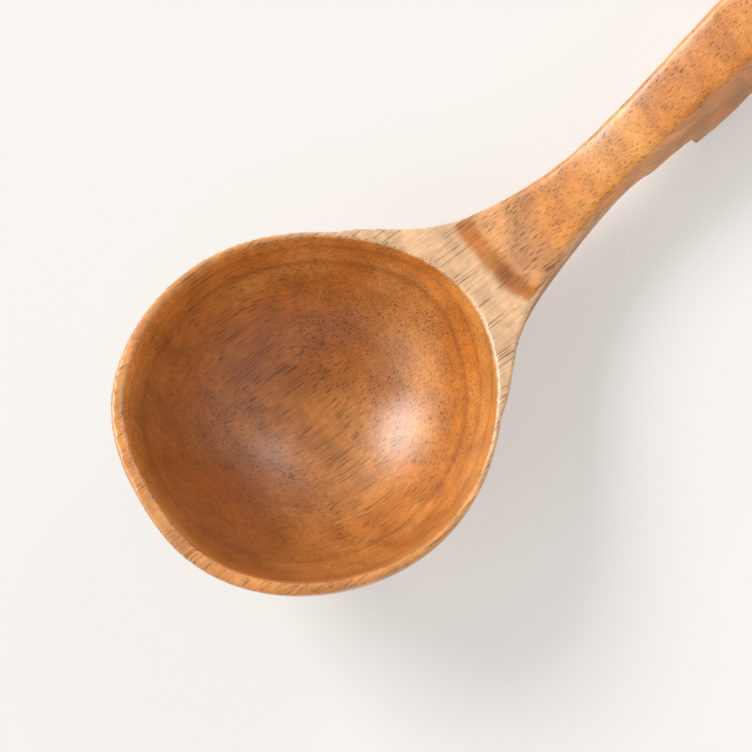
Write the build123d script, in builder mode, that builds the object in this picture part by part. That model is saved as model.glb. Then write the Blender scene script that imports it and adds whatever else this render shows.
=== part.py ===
from build123d import *
from math import acos, atan2, cos, degrees, radians, sin
import os

# A soup ladle carved from one piece of hardwood: a round bowl, a flared neck and a swept
# handle with a step under it that hooks over the edge of a pot.
# It is drawn with the bowl's rim level at z = 0, the bowl's centre on the z axis and the
# handle running along +X, and is then laid down as it rests on a table. Millimetres.

# --- bowl: reach of the hollow's rim from the centre, every 45 degrees from the handle
MOUTH_NECK = 44.0
MOUTH_NECK_CHEEK = 41.5
MOUTH_SIDE = 42.0
MOUTH_TIP_CHEEK = 43.0
MOUTH_TIP = 42.4
# --- bowl: width of the lip outside the hollow, in the same directions
LIP_NECK = 2.0
LIP_NECK_CHEEK = 1.4
LIP_SIDE = 2.0
LIP_TIP_CHEEK = 2.9
LIP_TIP = 3.3
LIP_ROUND = 0.55        # rounding of the lip's edges
HOLLOW_DEPTH = 34.5
FLOOR_THICKNESS = 5.5   # wood under the deepest point
BOWL_LEAN = 4.0         # how far the deepest point lies from the centre, towards the handle

# --- neck: the flare that leaves the bowl's sides, and the belly under it
FLARE_START = 24.0      # the neck's first section, inside the hollow
FLARE_WIDTH = 59.0      # where the flare comes out of the bowl's sides
FLARE_REACH = 31.0
FLARE_DEPTH = 23.0      # the belly runs out into the bowl's underside
SHOULDER_REACH = 46.0   # halfway down the flare
SHOULDER_WIDTH = 36.6
SHOULDER_THICKNESS = 15.6

# --- handle: its top line rises from the rim, runs over the hook and ends level
RISE_START = 48.0       # where the top leaves the rim's plane
HOOK_REACH = 103.5      # from the bowl's centre to the hook, along the rim's plane
HOOK_TOP = 16.8         # height of the top line over the hook
HOOK_SLOPE = 0.48       # rise per length there
END_REACH = 245.0
END_TOP = 46.5
# --- handle: sections
NECK_REACH = 88.0       # where the handle is narrowest
NECK_WIDTH = 14.2
NECK_THICKNESS = 12.6
GRIP_WIDTH = 14.4       # at the hook
GRIP_THICKNESS = 23.5
GRIP_BELLY_ROUND = 3.0
SWELL_REACH = 128.0     # fullest place behind the hook
SWELL_WIDTH = 16.8
SWELL_THICKNESS = 22.5
END_WIDTH = 21.0        # at the last full section, where the handle touches the table
END_THICKNESS = 13.0
END_ROUND = 11.0        # length over which the end is rounded off
EDGE_ROUND = 2.2        # rounding of the handle's top edges
BELLY_ROUND = 4.0       # rounding of its lower edges
# --- hook: a step under the handle that faces the bowl
HOOK_DEPTH = 7.2        # height of the step
HOOK_UNDERCUT = 1.2     # how far its lip leans towards the bowl
HOOK_ROUND = 1.5        # rounding of its inner corner
HOOK_LIP_ROUND = 0.8    # rounding of its lip

FLAT_DEPTH = 0.4        # the spots that touch the table are sanded flat
NECK_DROP = 0.1         # the neck's top starts this much under the lip
CUT_RISE = 4.0          # the hollow's cutter starts this far above the rim
POLE_ANGLE = 5.0        # half angle of the small disc that closes a ball's lowest point
RINGS = 8               # rim outlines from the rim to the deepest point

MOUTH = (MOUTH_NECK, MOUTH_NECK_CHEEK, MOUTH_SIDE, MOUTH_TIP_CHEEK, MOUTH_TIP)
LIP = (LIP_NECK, LIP_NECK_CHEEK, LIP_SIDE, LIP_TIP_CHEEK, LIP_TIP)
OUTSIDE = [mouth + lip for mouth, lip in zip(MOUTH, LIP)]
BOWL_DEPTH = HOLLOW_DEPTH + FLOOR_THICKNESS


def ball_radius(half_width, depth):
    """Radius of the ball whose cap has this half width and this depth."""
    return (half_width**2 + depth**2) / (2 * depth)


def rim_points(reaches, scale, lean):
    """Eight points of an egg-shaped outline, symmetric about the handle's line, from its tip."""
    points = []
    for step in range(8):
        reach = scale * reaches[abs(4 - step)]
        angle = radians(45 * step - 180)
        points.append((lean + reach * cos(angle), reach * sin(angle)))
    return points


def bowl_rings(reaches, depth, rise):
    """Rim outlines down a ball's profile, from z = rise to a small disc at the deepest point."""
    half_width = reaches[2]
    radius = ball_radius(half_width, depth)
    centre = radius - depth
    rim_angle = acos((centre - rise) / radius)
    rings = []
    for step in range(RINGS):
        angle = rim_angle + (radians(POLE_ANGLE) - rim_angle) * step / (RINGS - 1)
        height = centre - radius * cos(angle)
        scale = radius * sin(angle) / half_width
        with BuildSketch(Plane.XY.offset(height)) as ring:
            with BuildLine():
                Spline(*rim_points(reaches, scale, -BOWL_LEAN * height / depth), periodic=True)
            make_face()
        rings.append(ring.sketch)
    return rings


def smooth_run(length, end, start_slope, end_slope, reach):
    """Height and slope at a reach along a run that rises from 0 to its end."""
    f = reach / length
    height = end * (3 * f**2 - 2 * f**3)
    height += length * (start_slope * (f - 2 * f**2 + f**3) + end_slope * (f**3 - f**2))
    slope = 6 * end / length * (f - f**2)
    slope += start_slope * (1 - 4 * f + 3 * f**2) + end_slope * (3 * f**2 - 2 * f)
    return height, slope


def top_line(reach):
    """Height and slope of the handle's top line at this distance from the bowl's centre."""
    if reach <= RISE_START:
        return 0.0, 0.0
    if reach <= HOOK_REACH:
        return smooth_run(HOOK_REACH - RISE_START, HOOK_TOP, 0, HOOK_SLOPE, reach - RISE_START)
    length = END_REACH - HOOK_REACH
    height, slope = smooth_run(length, END_TOP - HOOK_TOP, HOOK_SLOPE, 0, reach - HOOK_REACH)
    return HOOK_TOP + height, slope


def section_plane(reach):
    """Plane across the handle, with its origin on the top line and its y axis upwards."""
    height, slope = top_line(reach)
    return Plane(origin=(reach, 0, height - NECK_DROP), x_dir=(0, 1, 0), z_dir=(1, 0, slope))


def under_point(reach, thickness):
    """Point on the handle's underside, in the plane of symmetry."""
    return section_plane(reach).from_local_coords(Vector(0, -thickness, 0))


def handle_section(reach, width, thickness, edge_round, belly_round):
    """One section across the handle: flat on top and rounded below."""
    with BuildSketch(section_plane(reach)) as section:
        Rectangle(width, thickness, align=(Align.CENTER, Align.MAX))
        fillet(section.vertices().group_by(Axis.Y)[-1], edge_round)
        fillet(section.vertices().group_by(Axis.Y)[0], belly_round)
    return section.sketch


def neck_sections():
    """Sections from inside the bowl to the narrowest place."""
    flare_mid = (FLARE_REACH + SHOULDER_REACH) / 2
    flare_mid_width = (FLARE_WIDTH + SHOULDER_WIDTH) / 2 + 1.2
    flare_mid_depth = (FLARE_DEPTH + SHOULDER_THICKNESS) / 2
    taper = NECK_REACH - SHOULDER_REACH
    extra_width = SHOULDER_WIDTH - NECK_WIDTH
    extra_depth = SHOULDER_THICKNESS - NECK_THICKNESS
    return [
        handle_section(FLARE_START, FLARE_WIDTH + 3, FLARE_DEPTH - 3, 0.6, FLARE_DEPTH - 6),
        handle_section(FLARE_REACH, FLARE_WIDTH, FLARE_DEPTH, 0.6, FLARE_DEPTH - 4),
        handle_section(flare_mid, flare_mid_width, flare_mid_depth, 0.6, flare_mid_depth - 2.5),
        handle_section(SHOULDER_REACH, SHOULDER_WIDTH, SHOULDER_THICKNESS, 0.8, SHOULDER_THICKNESS - 3),
        handle_section(
            SHOULDER_REACH + 0.21 * taper, NECK_WIDTH + 0.58 * extra_width,
            NECK_THICKNESS + 0.35 * extra_depth, 1.2, 9.0,
        ),
        handle_section(
            SHOULDER_REACH + 0.48 * taper, NECK_WIDTH + 0.27 * extra_width,
            NECK_THICKNESS, 1.6, 6.0,
        ),
        handle_section(
            SHOULDER_REACH + 0.77 * taper, NECK_WIDTH + 0.055 * extra_width,
            NECK_THICKNESS, 2.0, 4.6,
        ),
        handle_section(NECK_REACH, NECK_WIDTH, NECK_THICKNESS, EDGE_ROUND, BELLY_ROUND),
    ]


def grip_sections():
    """Sections from the hook to the rounded end."""
    last_full = END_REACH - END_ROUND
    half_reach = (SWELL_REACH + last_full) / 2
    half_width = (SWELL_WIDTH + END_WIDTH) / 2
    half_thickness = (SWELL_THICKNESS + END_THICKNESS) / 2
    return [
        handle_section(HOOK_REACH, GRIP_WIDTH, GRIP_THICKNESS, EDGE_ROUND, GRIP_BELLY_ROUND),
        handle_section(SWELL_REACH, SWELL_WIDTH, SWELL_THICKNESS, EDGE_ROUND, BELLY_ROUND),
        handle_section(half_reach, half_width, half_thickness, EDGE_ROUND, BELLY_ROUND),
        handle_section(last_full, END_WIDTH, END_THICKNESS, EDGE_ROUND, BELLY_ROUND),
        handle_section(
            END_REACH - 0.35 * END_ROUND, 0.88 * END_WIDTH, 0.92 * END_THICKNESS, EDGE_ROUND, BELLY_ROUND
        ),
        handle_section(END_REACH, 0.5 * END_WIDTH, 0.66 * END_THICKNESS, EDGE_ROUND, BELLY_ROUND),
    ]


def tipped(x, z, tilt):
    """A point of the plane of symmetry, after the ladle is tipped about the rim's centre."""
    return Vector(x * cos(tilt) + z * sin(tilt), 0, z * cos(tilt) - x * sin(tilt))


def bowl_bottom(tilt):
    """The bowl's lowest point, when tipped by this angle."""
    radius = ball_radius(OUTSIDE[2], BOWL_DEPTH)
    angle = atan2(sin(tilt), cos(tilt) + sin(tilt) * BOWL_LEAN / BOWL_DEPTH)
    height = radius - BOWL_DEPTH - radius * cos(angle)
    return tipped(radius * sin(angle) - BOWL_LEAN * height / BOWL_DEPTH, height, tilt)


def end_bottom(tilt):
    """The lowest point of the handle's end, when tipped by this angle."""
    heel = under_point(END_REACH - 0.35 * END_ROUND, 0.92 * END_THICKNESS)
    return tipped(heel.X, heel.Z, tilt)


def resting_tilt():
    """Angle at which the bowl and the handle's end meet the table together."""
    low, high = 0.0, 1.0
    for _ in range(40):
        tilt = (low + high) / 2
        if end_bottom(tilt).Z > bowl_bottom(tilt).Z:
            low = tilt
        else:
            high = tilt
    return tilt


# --- bowl and its hollow
with BuildPart() as bowl:
    loft(bowl_rings(OUTSIDE, BOWL_DEPTH, 0))
    fillet(bowl.faces().sort_by(Axis.Z)[-1].edges(), LIP_ROUND)

with BuildPart() as hollow:
    loft(bowl_rings(MOUTH, HOLLOW_DEPTH, CUT_RISE))

# --- neck and handle
with BuildPart() as handle:
    loft(neck_sections() + grip_sections())

# --- hook: the underside is cut away from the neck to the step
under_neck = under_point(NECK_REACH, NECK_THICKNESS)
step_corner = under_point(HOOK_REACH, GRIP_THICKNESS - HOOK_DEPTH)
lip_below = under_point(HOOK_REACH - 2 * HOOK_UNDERCUT, GRIP_THICKNESS + HOOK_DEPTH)
with BuildPart() as step_cut:
    with BuildSketch(Plane.XZ):
        with BuildLine():
            underside = TangentArc(
                (under_neck.X, under_neck.Z),
                (step_corner.X, step_corner.Z),
                tangent=(1, top_line(NECK_REACH)[1]),
            )
            Polyline(
                underside @ 1,
                (lip_below.X, lip_below.Z),
                (under_neck.X, lip_below.Z),
                underside @ 0,
            )
        make_face()
    extrude(amount=GRIP_WIDTH, both=True)
    fillet(step_cut.edges().filter_by(Axis.Y).sort_by(Axis.Z)[-1], HOOK_ROUND)

# --- the carved ladle, rim level
with BuildPart() as carved:
    add(bowl.part)
    add(handle.part)
    add(hollow.part, mode=Mode.SUBTRACT)
    add(step_cut.part, mode=Mode.SUBTRACT)
    lip_top = carved.faces().filter_by(Axis.Z).group_by(Axis.Z)[-1].sort_by(SortBy.AREA)[-1]
    fillet(lip_top.inner_wires()[0].edges(), LIP_ROUND)

# --- laid down: tipped back onto the handle's end, with the origin where the bowl touches the
# table, and lowered until both spots are flat
tilt = resting_tilt()
foot = bowl_bottom(tilt)
with BuildPart() as ladle:
    with Locations(Location((-foot.X, 0, -foot.Z - FLAT_DEPTH), (0, degrees(tilt), 0))):
        add(carved.part)
    split(bisect_by=Plane.XY, keep=Keep.TOP)

ladle.part.label = "ladle"
os.makedirs("parts", exist_ok=True)
export_step(ladle.part, "parts/ladle.step")
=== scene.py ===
"""A carved wooden ladle, lying on a pale table top."""

from math import radians

import bmesh
import bpy
from bpy.props import FloatProperty, FloatVectorProperty, IntProperty, PointerProperty
from mathutils import Euler, Matrix, Vector


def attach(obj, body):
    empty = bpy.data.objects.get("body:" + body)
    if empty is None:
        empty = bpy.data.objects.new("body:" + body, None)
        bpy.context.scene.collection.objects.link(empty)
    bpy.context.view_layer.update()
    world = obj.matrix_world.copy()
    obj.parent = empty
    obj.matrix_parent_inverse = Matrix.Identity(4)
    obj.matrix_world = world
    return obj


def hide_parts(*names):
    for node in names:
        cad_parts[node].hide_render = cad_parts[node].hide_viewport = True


bl_info = {
    "name": "Carved Ladle",
    "version": (1, 0, 0),
    "blender": (4, 5, 0),
    "location": "View3D > Sidebar > Ladle",
    "description": "Builds a carved hardwood ladle around its frame, and lights it",
    "category": "Add Mesh",
}

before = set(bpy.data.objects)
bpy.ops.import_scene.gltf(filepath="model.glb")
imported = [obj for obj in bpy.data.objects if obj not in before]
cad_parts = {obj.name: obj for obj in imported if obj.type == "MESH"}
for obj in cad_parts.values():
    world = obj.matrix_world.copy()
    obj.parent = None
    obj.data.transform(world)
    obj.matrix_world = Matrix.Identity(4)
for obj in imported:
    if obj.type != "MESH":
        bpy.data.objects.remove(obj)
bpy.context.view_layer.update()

# The ladle lies tipped back by LEAN on the end of its handle. The grain runs with the bowl's
# rim, so the wood is figured in a space that has the rim's centre as its origin.
LEAN = radians(17.895)
RIM_CENTRE = Vector((-0.0045, 0, 0.04097))
MILLIMETRE = 0.001

# Places and sizes in that space, in millimetres
WAVE_SIZES = (70, 40, 40)           # size of the grain's waves
WAVE_SHIFTS = (0, 12, 9)            # how far they can shift it
HEART = (0, 24, -120)               # middle of the growth layers, under the board
LAYER = 4.5                         # thickness of a growth layer
PORES = ((0.62, 22.0, 0.0), (0.85, 36.0, 0.37))     # width and length of a pore's cell, and a shift
NECK_BELLY = (18, 80, -3)           # from, to and highest place of the neck's underside

# Edges keep their shape while the broad surfaces are sanded: from the first angle, and fully
# once past it by the second
EDGE_ANGLE = radians(9)
EDGE_ANGLE_SPAN = radians(7)
EDGE_SPREADS = 3                    # faces on each side of an edge that keep their shape with it


# --- sizes and colours -----------------------------------------------------------------------


def colour(name, description, value):
    return FloatVectorProperty(
        name=name, description=description, subtype="COLOR", size=3, min=0, max=1, default=value
    )


class LadleShape(bpy.types.PropertyGroup):
    grid: FloatProperty(
        name="Grid", description="Width of the mesh's faces", default=0.00068, unit="LENGTH", precision=5
    )
    sanding: IntProperty(
        name="Sanding", description="Passes that even out the broad surfaces", default=120
    )
    edge_sanding: IntProperty(
        name="Edge sanding", description="Passes that soften the edges", default=5
    )


class LadleWood(bpy.types.PropertyGroup):
    honey: colour("Honey", "Lightest wood", (0.86, 0.36, 0.085))
    amber: colour("Amber", "Common wood", (0.74, 0.25, 0.038))
    # Chestnut is both dark wood and painted shade, on the bowl at the tip and along the bend where the
    # handle starts to rise
    chestnut_and_shade: colour("Chestnut", "Darkest wood, towards the tip", (0.28, 0.068, 0.009))
    # Pale is partly the wood's own colour and partly a painted sheen on the flat of the neck
    pale: colour("Pale", "The pale layer that the flat of the neck lies in", (0.88, 0.56, 0.32))
    pore: colour("Pore", "Inside of the open pores", (0.14, 0.04, 0.010))
    rough: FloatProperty(
        name="Roughness", description="Roughness of the wood", default=0.42, min=0, max=1,
        subtype="FACTOR",
    )
    lacquer: FloatProperty(
        name="Lacquer", description="Strength of the lacquer's shine", default=0.85, min=0, max=1,
        subtype="FACTOR",
    )
    lacquer_rough: FloatProperty(
        name="Lacquer roughness", description="Roughness of the lacquer", default=0.30, min=0, max=1,
        subtype="FACTOR",
    )


class LadleStage(bpy.types.PropertyGroup):
    table: colour("Table", "Colour of the table top", (0.94, 0.925, 0.895))
    key: FloatProperty(name="Key", description="Strength of the large window", default=2.2)
    side: FloatProperty(name="Side", description="Strength of the small window", default=0.3)
    fill: FloatProperty(name="Fill", description="Strength of the window past the tip", default=0.5)
    wall: FloatProperty(name="Wall", description="Strength of the light from the walls", default=0.75)
    ceiling: FloatProperty(name="Ceiling", description="Strength of the light from above", default=0.2)
    shade: FloatProperty(
        name="Shade", description="Share of its colour that the table top reflects", default=0.9,
        min=0, max=1, subtype="FACTOR",
    )
    own_light: FloatProperty(
        name="Own light", description="Share of the table top that is seen as its own light",
        default=0.45, min=0, max=1, subtype="FACTOR",
    )


# --- helpers ---------------------------------------------------------------------------------


def add(tree, kind, sockets=None, **settings):
    """Adds a node, and sets its sockets from values or joins them to other nodes' outputs."""
    node = tree.nodes.new(kind)
    for name, value in settings.items():
        setattr(node, name, value)
    for socket, value in (sockets or {}).items():
        if isinstance(value, bpy.types.NodeSocket):
            tree.links.new(value, node.inputs[socket])
        else:
            node.inputs[socket].default_value = value
    return node


def compute(tree, operation, first, second=0.0):
    """Output of a node that does one sum."""
    return add(tree, "ShaderNodeMath", {0: first, 1: second}, operation=operation).outputs[0]


def smooth(tree, value, low, high, to_low=0.0, to_high=1.0):
    """Runs smoothly from one value to another between two limits."""
    sockets = {"Value": value, "From Min": low, "From Max": high, "To Min": to_low, "To Max": to_high}
    return add(tree, "ShaderNodeMapRange", sockets, interpolation_type="SMOOTHSTEP").outputs[0]


def blend(tree, share, first, second, kind="MIX"):
    """Mixes two colours."""
    sockets = {0: share, 6: first, 7: second}
    return add(tree, "ShaderNodeMix", sockets, data_type="RGBA", blend_type=kind).outputs[2]


def rgba(value):
    return (*value, 1.0)


def stretched(tree, place, sizes, shift=(0, 0, 0)):
    """Divides a place by the sizes of a pattern along the three directions of the wood."""
    sockets = {"Vector": place, "Scale": [1 / size for size in sizes], "Location": shift}
    return add(tree, "ShaderNodeMapping", sockets).outputs[0]


def noise(tree, place, sizes, detail=2.0, shift=(0, 0, 0), roughness=0.5):
    """Cloudy value from 0 to 1 whose clouds have these sizes in millimetres."""
    sockets = {
        "Vector": stretched(tree, place, sizes, shift), "Scale": 1.0, "Detail": detail,
        "Roughness": roughness,
    }
    return add(tree, "ShaderNodeTexNoise", sockets)


# --- wood ------------------------------------------------------------------------------------


def grain_space(tree):
    """Place in the wood in millimetres: X with the grain, Z up from the rim, a little wavy."""
    to_rim = Euler((0, -LEAN, 0)).to_matrix()
    sockets = {
        "Vector": add(tree, "ShaderNodeTexCoord").outputs["Object"],
        "Scale": [1 / MILLIMETRE] * 3,
        "Rotation": (0, -LEAN, 0),
        "Location": to_rim @ -RIM_CENTRE / MILLIMETRE,
    }
    straight = add(tree, "ShaderNodeMapping", sockets).outputs[0]
    wave = noise(tree, straight, WAVE_SIZES, detail=1.0).outputs["Color"]
    centred = add(
        tree, "ShaderNodeVectorMath", {0: wave, 1: (0.5, 0.5, 0.5)}, operation="SUBTRACT"
    ).outputs[0]
    shift = add(
        tree, "ShaderNodeVectorMath", {0: centred, 1: WAVE_SHIFTS}, operation="MULTIPLY"
    ).outputs[0]
    wavy = add(tree, "ShaderNodeVectorMath", {0: straight, 1: shift}, operation="ADD").outputs[0]
    return straight, wavy


def growth_layers(tree, wavy):
    """Value from 0 to 1 of the growth layers, which lie flat in the board and arch over its pith."""
    sockets = {0: wavy, 1: (0, 1, 1)}
    flat = add(tree, "ShaderNodeVectorMath", sockets, operation="MULTIPLY").outputs[0]
    reach = add(tree, "ShaderNodeVectorMath", {0: flat, 1: HEART}, operation="DISTANCE").outputs["Value"]
    return add(
        tree, "ShaderNodeTexNoise",
        {"W": compute(tree, "MULTIPLY", reach, 1 / LAYER), "Scale": 1.0, "Detail": 3.0, "Roughness": 0.55},
        noise_dimensions="1D",
    ).outputs[0]


def pores(tree, wavy):
    """1 inside the pores, which are long thin vessels along the grain."""
    masks = []
    for width, length, shift in PORES:
        cells = add(
            tree, "ShaderNodeTexVoronoi",
            {"Vector": stretched(tree, wavy, (length, width, width), (shift, shift, shift)), "Scale": 1.0},
        ).outputs["Distance"]
        masks.append(smooth(tree, cells, 0.14, 0.32, 1.0, 0.0))
    return compute(tree, "MAXIMUM", masks[0], masks[1])


def make_wood(wood):
    """Mottled orange-brown hardwood under a clear lacquer, with painted shade and a painted sheen in its
    colour.
    """
    material = bpy.data.materials.new("lacquered_hardwood")
    material.use_nodes = True
    tree = material.node_tree
    shader = tree.nodes["Principled BSDF"]
    straight, wavy = grain_space(tree)
    along, _, height = add(tree, "ShaderNodeSeparateXYZ", {0: straight}).outputs

    # large clouds of honey and amber, darker bands of growth, and darker brown towards the tip of the
    # bowl, partly heartwood and partly painted shade
    cloud = noise(tree, wavy, (34, 20, 14), detail=2.0, shift=(1, 2, 0)).outputs[0]
    tone = blend(tree, smooth(tree, cloud, 0.36, 0.62), rgba(wood.amber), rgba(wood.honey))
    ring = growth_layers(tree, wavy)
    tone = blend(tree, smooth(tree, ring, 0.46, 0.78, 0.0, 0.42), tone, rgba(wood.chestnut_and_shade))
    below = smooth(tree, height, -0.5, -9.0)
    shifted = compute(tree, "ADD", along, compute(tree, "MULTIPLY", cloud, 30.0))
    towards_tip = smooth(tree, shifted, 44.0, -24.0)
    # painted shade: below the rim the bowl darkens towards the tip, partly as heartwood and partly as the
    # shade on the bowl's wall at the tip
    dark_tip_and_shade = compute(tree, "MULTIPLY", below, smooth(tree, towards_tip, 0.0, 1.0, 0.12, 0.72))
    tone = blend(tree, dark_tip_and_shade, tone, rgba(wood.chestnut_and_shade))

    # the flat of the neck is pale, partly a pale layer of the wood and partly a painted sheen; above it
    # lie a thin dark line, partly a dark layer and partly painted shade at the bend where the handle
    # starts to rise, and a golden layer
    ripple = noise(tree, straight, (18, 9, 9), detail=3.0, shift=(3, 0, 0)).outputs[0]
    level = compute(tree, "ADD", height, compute(tree, "MULTIPLY", ripple, 0.16))
    # painted sheen: the flat of the neck is pale partly from the wood's pale layer and partly from the
    # lacquer's shine painted in
    layer_and_sheen = compute(
        tree, "MULTIPLY", smooth(tree, level, -1.2, -0.3), smooth(tree, level, 0.10, 0.24, 1.0, 0.0)
    )
    layer_and_sheen = compute(tree, "MULTIPLY", layer_and_sheen, smooth(tree, along, 10.0, 34.0, 0.1, 0.85))
    tone = blend(tree, layer_and_sheen, tone, rgba(wood.pale))
    # painted shade: the thin dark line where the handle starts to rise is partly a dark layer of the wood
    # and partly painted shade at that bend
    dark_line_and_crease_shade = compute(
        tree, "MULTIPLY", smooth(tree, level, 0.10, 0.24), smooth(tree, level, 0.40, 0.65, 1.0, 0.0)
    )
    dark_line_and_crease_shade = compute(tree, "MULTIPLY", dark_line_and_crease_shade, smooth(tree, along, 20.0, 45.0, 0.2, 0.36))
    tone = blend(tree, dark_line_and_crease_shade, tone, rgba(wood.chestnut_and_shade))
    golden = compute(
        tree, "MULTIPLY", smooth(tree, level, 0.40, 0.65), smooth(tree, level, 0.7, 4.0, 0.34, 0.0)
    )
    tone = blend(tree, golden, tone, rgba(wood.pale))

    # light and dark patches across the grain, and fine fibres along it
    patch = noise(tree, wavy, (6, 11, 11), detail=4.0, shift=(0, 5, 0), roughness=0.6).outputs[0]
    tone = blend(tree, 1.0, tone, smooth(tree, patch, 0.3, 0.7, 0.80, 1.12), "MULTIPLY")
    mottle = noise(tree, wavy, (2.5, 1.2, 1.2), detail=2.0, shift=(7, 0, 0)).outputs[0]
    tone = blend(tree, 1.0, tone, smooth(tree, mottle, 0.25, 0.75, 0.90, 1.08), "MULTIPLY")
    fibre = noise(tree, wavy, (26, 0.32, 0.32), detail=2.0).outputs[0]
    tone = blend(tree, 1.0, tone, smooth(tree, fibre, 0.25, 0.75, 0.86, 1.08), "MULTIPLY")

    open_pores = pores(tree, wavy)
    shown = compute(tree, "MULTIPLY", open_pores, smooth(tree, patch, 0.3, 0.6, 0.85, 0.45))
    tone = blend(tree, shown, tone, rgba(wood.pore))
    tree.links.new(tone, shader.inputs["Base Color"])

    shader.inputs["Roughness"].default_value = wood.rough
    shader.inputs["Coat Weight"].default_value = wood.lacquer
    shader.inputs["Coat Roughness"].default_value = wood.lacquer_rough
    grain_height = compute(tree, "SUBTRACT", fibre, open_pores)
    bump = add(
        tree, "ShaderNodeBump", {"Height": grain_height, "Strength": 0.35, "Distance": 0.00008}
    ).outputs[0]
    tree.links.new(bump, shader.inputs["Normal"])
    return material


# --- ladle -----------------------------------------------------------------------------------


def rim_place(point):
    """A point's place from the rim's centre, X along the rim towards the handle, Z off the rim."""
    return Euler((0, -LEAN, 0)).to_matrix() @ (point - RIM_CENTRE)


def apply_modifiers(piece):
    """Makes a piece's modifiers part of its mesh."""
    graph = bpy.context.evaluated_depsgraph_get()
    mesh = bpy.data.meshes.new_from_object(piece.evaluated_get(graph))
    piece.modifiers.clear()
    piece.data = mesh


def mark_broad_surfaces(piece):
    """Puts the broad surfaces, but not the edges, in a vertex group that the sanding uses.

    The neck's underside counts as broad throughout, so that its joins with the bowl are sanded.
    """
    surface = bmesh.new()
    surface.from_mesh(piece.data)
    keep = [0.0] * len(surface.verts)
    for edge in surface.edges:
        angle = edge.calc_face_angle(0.0)
        for vert in edge.verts:
            keep[vert.index] = max(keep[vert.index], angle)
    surface.verts.ensure_lookup_table()
    edge_value = [min(1.0, max(0.0, (value - EDGE_ANGLE) / EDGE_ANGLE_SPAN)) for value in keep]
    start, end, top = NECK_BELLY
    for vert in surface.verts:
        place = rim_place(vert.co) / MILLIMETRE
        if start < place.x < end and place.z < top:
            edge_value[vert.index] = 0.0
    for _ in range(EDGE_SPREADS):
        spread = list(edge_value)
        for vert in surface.verts:
            around = [edge_value[edge.other_vert(vert).index] for edge in vert.link_edges]
            spread[vert.index] = max(edge_value[vert.index], sum(around) / len(around))
        edge_value = spread
    surface.free()
    group = piece.vertex_groups.new(name="broad")
    for index, value in enumerate(edge_value):
        group.add([index], 1.0 - value, "REPLACE")


def carve(shape):
    """The ladle's mesh: the frame's solid with even faces, broad surfaces sanded, edges softened."""
    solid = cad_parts["ladle"].data.copy()
    merged = bmesh.new()
    merged.from_mesh(solid)
    bmesh.ops.remove_doubles(merged, verts=merged.verts, dist=1e-6)
    merged.to_mesh(solid)
    merged.free()
    piece = bpy.data.objects.new("carved_ladle", solid)
    bpy.context.scene.collection.objects.link(piece)

    grid = piece.modifiers.new("grid", "REMESH")
    grid.mode = "VOXEL"
    grid.voxel_size = shape.grid
    apply_modifiers(piece)

    mark_broad_surfaces(piece)
    sanding = piece.modifiers.new("sanding", "SMOOTH")
    sanding.factor = 0.5
    sanding.iterations = shape.sanding
    sanding.vertex_group = "broad"
    edges = piece.modifiers.new("edge_sanding", "SMOOTH")
    edges.factor = 0.5
    edges.iterations = shape.edge_sanding
    apply_modifiers(piece)
    piece.vertex_groups.clear()
    piece.data.materials.clear()
    for face in piece.data.polygons:
        face.use_smooth = True
    return piece


# --- operators -------------------------------------------------------------------------------


class LADLE_OT_carve(bpy.types.Operator):
    """Makes the ladle around its solid, and finishes its wood"""

    bl_idname = "ladle.carve"
    bl_label = "Carve the ladle"

    def execute(self, context):
        scene = context.scene
        piece = carve(scene.ladle_shape)
        piece.data.materials.append(make_wood(scene.ladle_wood))
        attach(piece, "root")
        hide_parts("ladle")
        return {"FINISHED"}


def window(name, azimuth, elevation, width, strength):
    """Soft light from a distant window that is this many degrees wide."""
    lamp = bpy.data.lights.new(name, "SUN")
    lamp.angle = radians(width)
    lamp.energy = strength
    holder = bpy.data.objects.new(name, lamp)
    holder.rotation_euler = (radians(90 - elevation), 0, radians(azimuth + 90))
    bpy.context.scene.collection.objects.link(holder)


def make_table(stage):
    """A pale table top under the ladle."""
    top = bmesh.new()
    bmesh.ops.create_grid(top, x_segments=1, y_segments=1, size=2.0)
    mesh = bpy.data.meshes.new("table_top")
    top.to_mesh(mesh)
    top.free()
    table = bpy.data.objects.new("table_top", mesh)
    bpy.context.scene.collection.objects.link(table)
    material = bpy.data.materials.new("pale_table")
    material.use_nodes = True
    tree = material.node_tree
    shader = tree.nodes["Principled BSDF"]
    shader.inputs["Base Color"].default_value = rgba([stage.shade * part for part in stage.table])
    shader.inputs["Roughness"].default_value = 0.8
    shader.inputs["Specular IOR Level"].default_value = 0.0
    # seen directly, the table top is partly its own light, which keeps the shadows pale
    bright = add(tree, "ShaderNodeEmission", {"Color": rgba(stage.table), "Strength": 1.0}).outputs[0]
    seen = add(tree, "ShaderNodeLightPath").outputs["Is Camera Ray"]
    share = compute(tree, "MULTIPLY", seen, stage.own_light)
    surface = add(tree, "ShaderNodeMixShader", {0: share, 1: shader.outputs[0], 2: bright}).outputs[0]
    tree.links.new(surface, tree.nodes["Material Output"].inputs["Surface"])
    mesh.materials.append(material)


def make_world(stage):
    """White walls and a dim ceiling: white for the eye, less for what they light."""
    world = bpy.data.worlds.new("room")
    world.use_nodes = True
    tree = world.node_tree
    direction = add(tree, "ShaderNodeTexCoord").outputs["Generated"]
    up = add(tree, "ShaderNodeSeparateXYZ", {0: direction}).outputs[2]
    light = smooth(tree, up, 0.6, 0.9, stage.wall, stage.ceiling)
    path = add(tree, "ShaderNodeLightPath").outputs
    backdrop = compute(tree, "MAXIMUM", path["Is Camera Ray"], path["Is Transmission Ray"])
    strength = compute(tree, "MAXIMUM", light, backdrop)
    background = tree.nodes["Background"]
    background.inputs["Color"].default_value = rgba(stage.table)
    tree.links.new(strength, background.inputs["Strength"])
    bpy.context.scene.world = world


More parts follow.
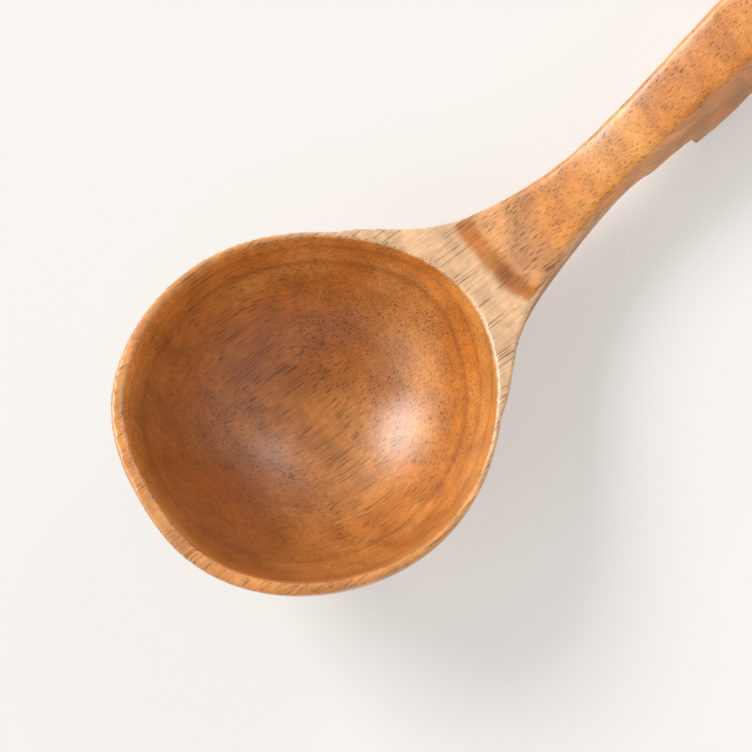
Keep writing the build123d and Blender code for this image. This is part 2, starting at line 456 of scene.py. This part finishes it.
def make_camera():
    """Looks down on the bowl, with the handle running to the upper right corner."""
    azimuth, elevation, roll, distance = -79.006, 73.0025, -53.628, 0.56525
    target = Vector((0.009836, -0.005137, 0.038591))
    turn = Euler((radians(90 - elevation), 0, radians(azimuth + 90))).to_matrix()
    turn = turn @ Matrix.Rotation(radians(roll), 3, "Z")
    lens = bpy.data.cameras.new("camera")
    lens.sensor_width = 36.0
    lens.lens = 119.68
    lens.clip_start = 0.01
    camera = bpy.data.objects.new("camera", lens)
    camera.matrix_world = Matrix.LocRotScale(target + turn @ Vector((0, 0, distance)), turn, None)
    bpy.context.scene.collection.objects.link(camera)
    bpy.context.scene.camera = camera


class LADLE_OT_stage(bpy.types.Operator):
    """Makes the table top, the windows' light, the room and the camera"""

    bl_idname = "ladle.stage"
    bl_label = "Set the stage"

    def execute(self, context):
        stage = context.scene.ladle_stage
        make_table(stage)
        make_world(stage)
        window("large_window", 103, 45, 30, stage.key)
        window("small_window", 4, 32, 18, stage.side)
        window("far_window", 165, 38, 40, stage.fill)
        make_camera()
        context.scene.view_settings.view_transform = "Standard"
        return {"FINISHED"}


class LADLE_PT_panel(bpy.types.Panel):
    """Lists the ladle's operators"""

    bl_idname = "LADLE_PT_panel"
    bl_label = "Carved Ladle"
    bl_space_type = "VIEW_3D"
    bl_region_type = "UI"
    bl_category = "Ladle"

    def draw(self, context):
        for group in GROUPS:
            settings = getattr(context.scene, group)
            for name in settings.__annotations__:
                self.layout.prop(settings, name)
        for operator in OPERATORS:
            self.layout.operator(operator.bl_idname)


GROUPS = {"ladle_shape": LadleShape, "ladle_wood": LadleWood, "ladle_stage": LadleStage}
OPERATORS = (LADLE_OT_carve, LADLE_OT_stage)
CLASSES = (*GROUPS.values(), *OPERATORS, LADLE_PT_panel)


def register():
    for item in CLASSES:
        bpy.utils.register_class(item)
    for name, group in GROUPS.items():
        setattr(bpy.types.Scene, name, PointerProperty(type=group))


def unregister():
    for name in GROUPS:
        delattr(bpy.types.Scene, name)
    for item in reversed(CLASSES):
        bpy.utils.unregister_class(item)


def main():
    register()
    bpy.ops.ladle.carve()
    bpy.ops.ladle.stage()


if __name__ == "__main__":
    main()
